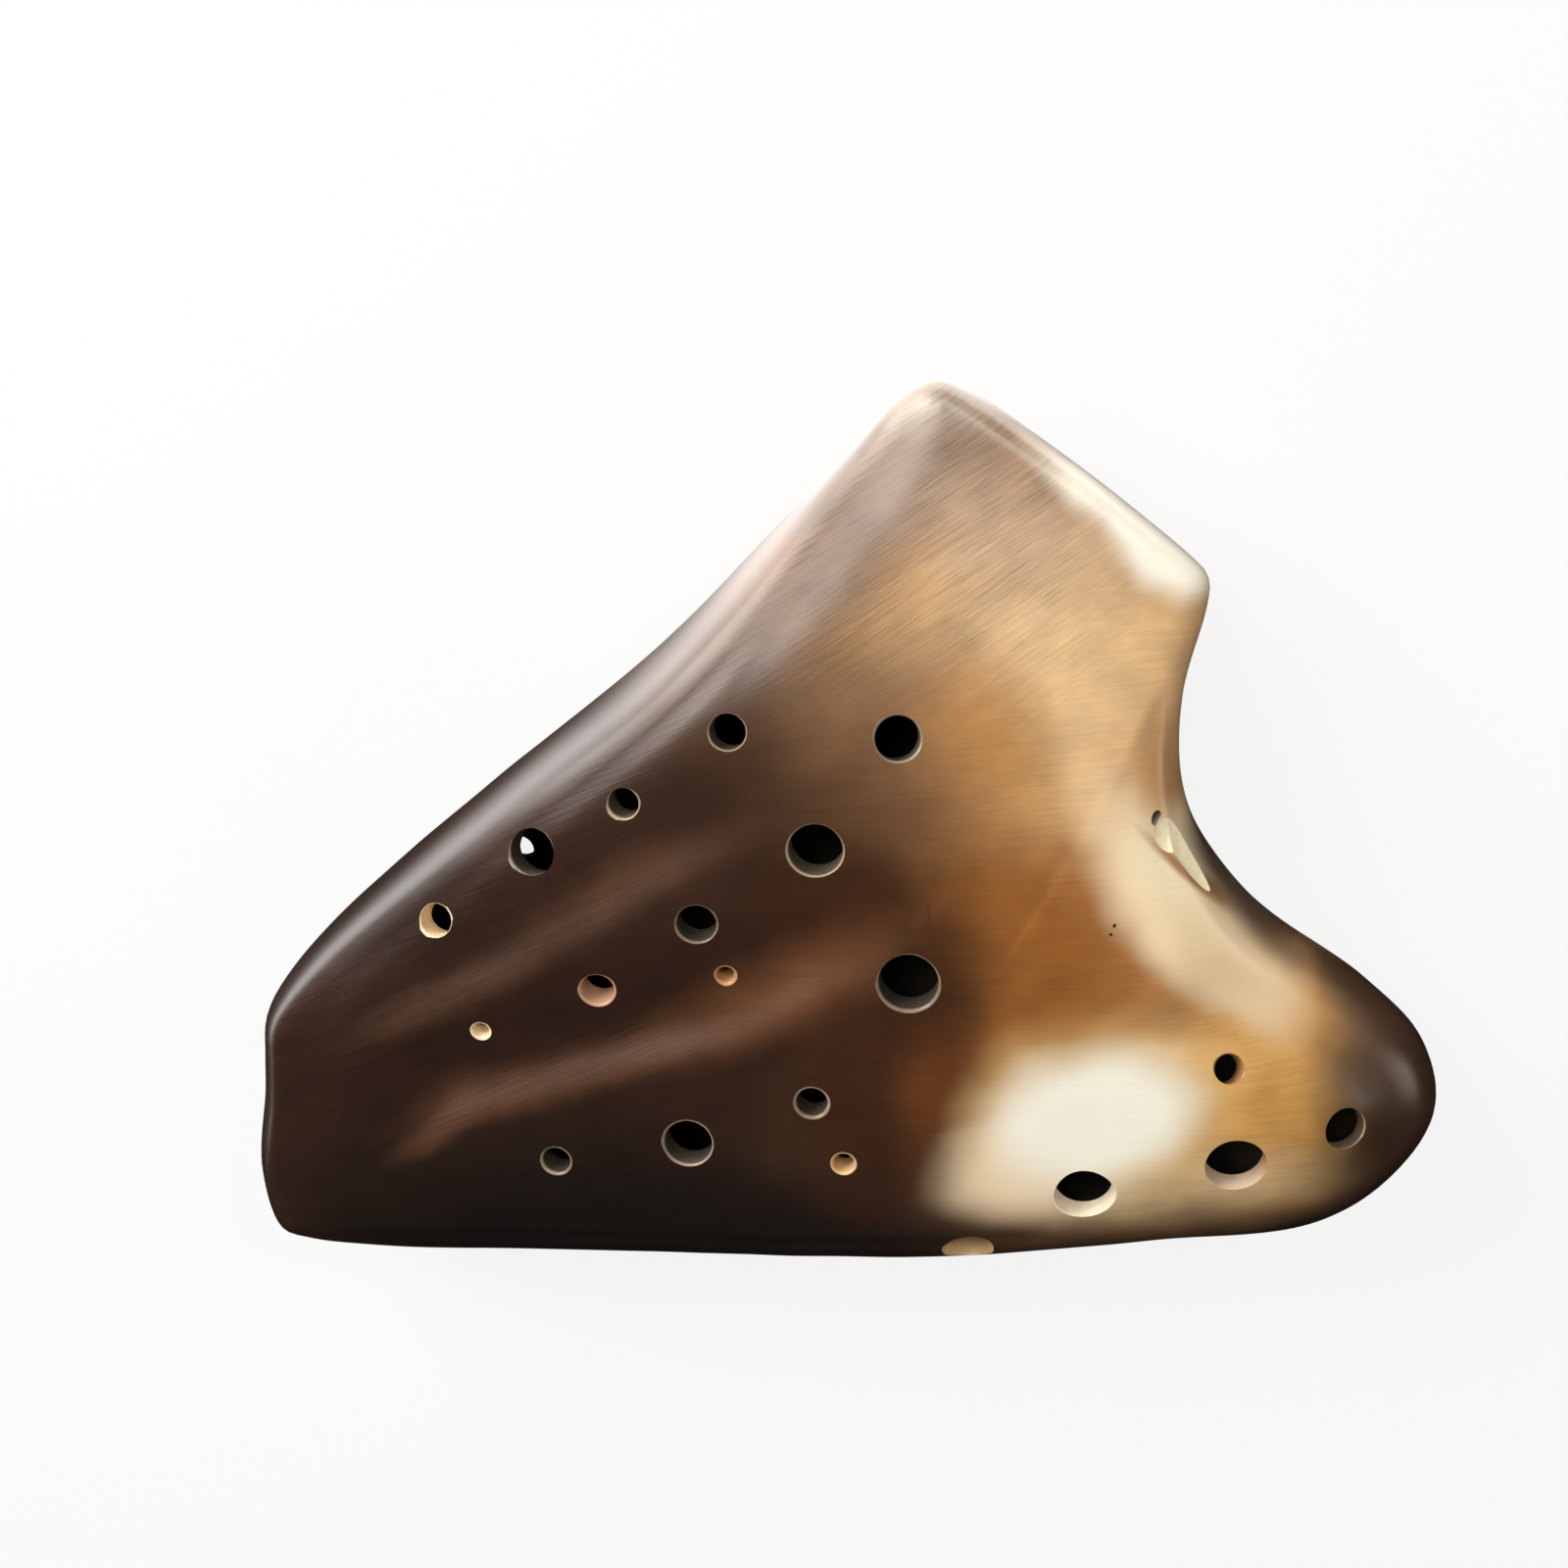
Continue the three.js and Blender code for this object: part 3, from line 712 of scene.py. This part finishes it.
flame_marks = [
    ((250, 226, 186), (55, -3, 38), (21, 7.5, 20), -48, 0.6, 0.95),
    ((248, 232, 196), (53, 5, 36), (7, 5, 20), -48, 0.6, 0.9),
    ((240, 212, 172), (63, -15, 36), (11, 5.5, 20), -44, 0.6, 0.9),
    ((230, 194, 130), (42, -37, 43), (18.5, 14.5, 20), 14, 0.4, 0.8),
    ((248, 224, 188), (36, -46, 43), (16, 9, 16), 14, 0.5, 0.9),
    ((255, 251, 234), (41.5, -37, 44), (14.5, 11.5, 20), 20, 0.4, 1.0),
    ((72, 50, 36), (80, -11, 18), (25, 8.5, 30), -42, 0.45, 0.95),
    ((255, 248, 232), (45, 54, 26), (17, 5, 14), -37, 0.45, 1.0),
    ((255, 248, 232), (49, 49, 27), (8, 6, 12), -37, 0.5, 1.0),
]

waist_marks = [
    ((160, 100, 48), (56.5, 0.2, 36), (10, 0.9, 8), -43, 0.6, 0.95),
    ((66, 47, 35), (63, -4, 18), (18, 2.6, 16), -50, 0.5, 0.85),
    ((176, 126, 74), (50, 17, 33), (3, 9, 9), 6, 0.7, 0.7),
]

start, at = finish_nodes(smoked)
drifted = wandering(at, 0.02, 0.005, 1.7)
dark, light, palest = clay_colour(84, 56, 38), clay_colour(150, 108, 68), clay_colour(214, 176, 130)
shade = blend(fade(cloud(drifted, 0.045, 2, 4.2), 0.35, 0.65), dark, light)
shade = blend(fade(cloud(drifted, 0.06, 1, 9.1), 0.58, 0.72), shade, palest)
shade = with_marks(drifted, shade, smoke_and_painted_light_marks)

# The strokes run their own way on the beak, the tail and the rest, and stop where the sides turn down.
along_x, along_y, up = (start.node("ShaderNodeSeparateXYZ", {}, {0: at}, axis) for axis in (0, 1, 2))
outward_x, outward_y = (float(part) for part in mouth_outward)
inward = float(mouth_middle @ mouth_outward) - along_x * outward_x - along_y * outward_y
crest = fade(inward, 0, beak_run) * (crown - beak_top) + (seam_height + beak_top)
crest = crest - (1 - fade(along_x, -length / 2, -tail_start)) * (crown - tail_crown)
on_top = fade(up - crest, -0.006, -0.003)
on_beak = fade(along_y, 0.012, 0.045) * (1 - fade(along_x, 0.030, 0.052))
on_tail = (1 - fade(along_x, -0.03, 0.0)) * (1 - on_beak)
brushed = (
    strokes(at, 33, 6, 0.22, 3.3) * on_beak
    + strokes(at, 27, 9, 0.28, 8.6) * on_tail * 0.7
    + strokes(at, 4, 7, 0.24, 6.1) * (1 - on_beak - on_tail) * 0.5
) * on_top
mottle = cloud(at, 0.006, 3, 2.4) - 0.5
blotched = (cloud(drifted, 0.016, 2, 5.2) - 0.5) * 0.6
shade = with_marks(drifted, toned(shade, 1 + brushed * 0.8 + mottle * 0.5 + blotched), flame_marks)
shade = with_marks(at, shade, waist_marks)
relief = start.node(
    "ShaderNodeBump", {}, {"Strength": 0.5, "Distance": 0.0001, "Height": brushed + 0.3 * mottle}
)
burnt_in(
    start,
    {
        "Base Color": toned(shade, 1 + brushed * 0.25), "Roughness": 0.31 + brushed * 0.25,
        "Normal": relief, "Specular IOR Level": 0.5, "Coat Weight": 0.4, "Coat Roughness": 0.28,
    },
)


# THE BARE CLAY
# Hole walls and chambers are never burnished. They keep the matt, sandy face of the fired clay, browned
# by smoke except near the flame flashes. Fingertips wear the lips of the holes pale and smooth.

bare_marks = [
    ((255, 242, 204), (56.5, 3, 35), (9.5, 6, 12), -48, 0.1, 1.0),
    ((255, 240, 214), (47, -46, 38), (28, 14, 20), 8, 0.3, 1.0),
    ((176, 128, 78), (66, -34, 38), (14, 14, 20), 0, 0.5, 1.0),
    ((196, 150, 118), (-36, -18, 39), (7, 7, 5.5), 0, 0.5, 1.0),
    ((240, 212, 172), (-62, -10.5, 37), (7, 7, 5.5), 0, 0.5, 1.0),
    ((246, 222, 182), (-55.5, -28.8, 39), (4, 4, 4), 0, 0.5, 1.0),
    ((220, 182, 130), (3, -47.5, 40), (4, 4, 4.5), 0, 0.5, 1.0),
    ((196, 146, 98), (-15.5, -16.5, 41), (4, 4, 4), 0, 0.5, 1.0),
    ((220, 180, 130), (24, -65, 30), (9, 6, 20), 0, 0.4, 1.0),
]


def sandy(material, dark, light, roughness):
    start, at = finish_nodes(material)
    body = blend(fade(cloud(at, 0.02, 2, 5.5), 0.4, 0.6), clay_colour(*dark), clay_colour(*light))
    body = with_marks(at, body, bare_marks)
    grain = cloud(at, 0.0011, 3, 8.2)
    rough = start.node("ShaderNodeBump", {}, {"Strength": 0.5, "Distance": 0.0002, "Height": grain})
    burnt_in(start, {"Base Color": toned(body, 0.8 + 0.4 * grain), "Roughness": roughness, "Normal": rough})


sandy(bare, (60, 52, 43), (88, 77, 64), 0.8)
sandy(worn, (132, 114, 95), (172, 152, 127), 0.3)


# THE CHAMBER WALLS
# Two clay slabs stand on edge between the halves and part the three chambers. They stay bare inside.

for name in ("low_middle_wall", "middle_high_wall"):
    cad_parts[name].data.materials.clear()
    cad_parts[name].data.materials.append(bare)


# THE TABLE, THE LIGHT AND THE CAMERA
# The ocarina lies on a white table under soft daylight from the upper left. The sheen comes from a
# narrower part of the window than the light does, and at the edges from a painted glow on the table.

bpy.ops.object.select_all(action="DESELECT")
bpy.ops.mesh.primitive_plane_add(size=8, location=(0, 0, -0.0003))
table = bpy.context.object
table.name = "table"
bpy.ops.object.transform_apply(location=True, rotation=False, scale=False)
white_top = bpy.data.materials.new("white_table")
table.data.materials.append(white_top)
start, at = finish_nodes(white_top)
seen, mirrored, through = (start.node("ShaderNodeLightPath", output=ray) for ray in (0, 3, 6))
# Seen mirrored in the skin, the table is painted dark beside the ocarina and glows four times white
# beyond its upper left. That glow paints the sheen along the ocarina's upper-left edges.
away_x, away_y = (start.node("ShaderNodeSeparateXYZ", {}, {0: at}, axis) for axis in (0, 1))
glow_share = fade(away_y - away_x * 0.5, 0.04, 0.085)
plain = start.node("ShaderNodeBsdfDiffuse", {}, {"Color": (0.8, 0.8, 0.8, 1)})
glow = start.node("ShaderNodeEmission", {}, {"Color": (1, 1, 1, 1), "Strength": 1})
painted_dark = start.node("ShaderNodeBsdfDiffuse", {}, {"Color": (0.02, 0.02, 0.02, 1)})
painted_glow = start.node("ShaderNodeEmission", {}, {"Color": (1, 1, 1, 1), "Strength": 4})
mixed = start.node("ShaderNodeMixShader", {}, {0: seen * 0.86 + through * 0.2, 1: plain, 2: glow})
beyond = start.node("ShaderNodeMixShader", {}, {0: glow_share, 1: painted_dark, 2: painted_glow})
mixed = start.node("ShaderNodeMixShader", {}, {0: mirrored, 1: mixed, 2: beyond})
start.node("ShaderNodeOutputMaterial", {}, {0: mixed})

world = bpy.data.worlds.new("room")
bpy.context.scene.world = world
world.use_nodes = True
world.node_tree.nodes.clear()
start = Wire(world.node_tree)
room = start.node("ShaderNodeBackground", {}, {"Color": (1, 1, 1, 1), "Strength": 0.06})
white = start.node("ShaderNodeBackground", {}, {"Color": (1, 1, 1, 1), "Strength": 1})
mixed = start.node("ShaderNodeMixShader", {}, {0: start.node("ShaderNodeLightPath"), 1: room, 2: white})
start.node("ShaderNodeOutputWorld", {}, {0: mixed})


def soft_light(name, toward, far_off, size, level, colour, mirrored=True, lighting=True):
    """A soft box facing the ocarina, its level set beside white. Its sheen or its light can be left out."""
    data = bpy.data.lights.new(name, "AREA")
    data.shape = "RECTANGLE"
    data.size, data.size_y = size
    data.energy = level * math.pi * size[0] * size[1]
    data.color = colour
    lamp = bpy.data.objects.new(name, data)
    lamp.visible_glossy, lamp.visible_diffuse = mirrored, lighting
    bpy.context.scene.collection.objects.link(lamp)
    direction = Vector(toward).normalized()
    lamp.location = direction * far_off
    lamp.rotation_euler = direction.to_track_quat("Z", "Y").to_euler()


soft_light("window", (-0.64, 0.59, 0.44), 0.9, (0.62, 0.75), 8.2, (1, 0.98, 0.95), mirrored=False)
soft_light("window_sheen", (-0.73, 0.515, 0.455), 0.9, (0.39, 0.75), 8.2, (1, 0.98, 0.95), lighting=False)
soft_light("skylight", (-0.15, 0.45, 0.87), 1.0, (0.35, 0.3), 7, (1, 0.99, 0.97))
soft_light("back_window", (0.4, 0.5, 0.77), 1.0, (0.25, 0.25), 8, (1, 0.95, 0.88))
soft_light("side_window", (0.95, 0.1, 0.3), 0.9, (0.35, 0.3), 2.6, (1, 0.88, 0.74))
soft_light("front_fill", (0.3, -0.7, 0.6), 1.0, (0.6, 0.4), 1, (1, 0.97, 0.92), mirrored=False)

camera_data = bpy.data.cameras.new("camera")
camera = bpy.data.objects.new("camera", camera_data)
bpy.context.scene.collection.objects.link(camera)
bpy.context.scene.camera = camera
camera_place, toward_camera = (0.0321, 0.14885, 0.4068), Vector((0.0983, 0.3404, 0.9351)).normalized()
film, lens_in_films = 36, 2645.7 / 1600
sideways = Vector((0, 1, 0)).cross(toward_camera).normalized()
upward = toward_camera.cross(sideways)
facing = Matrix((sideways, upward, toward_camera)).transposed().to_4x4()
camera.matrix_world = Matrix.Translation(camera_place) @ facing
camera_data.sensor_width = film
camera_data.lens = lens_in_films * film
camera_data.clip_start = 0.01

bpy.context.scene.view_settings.view_transform = "Standard"

bpy.context.view_layer.update()
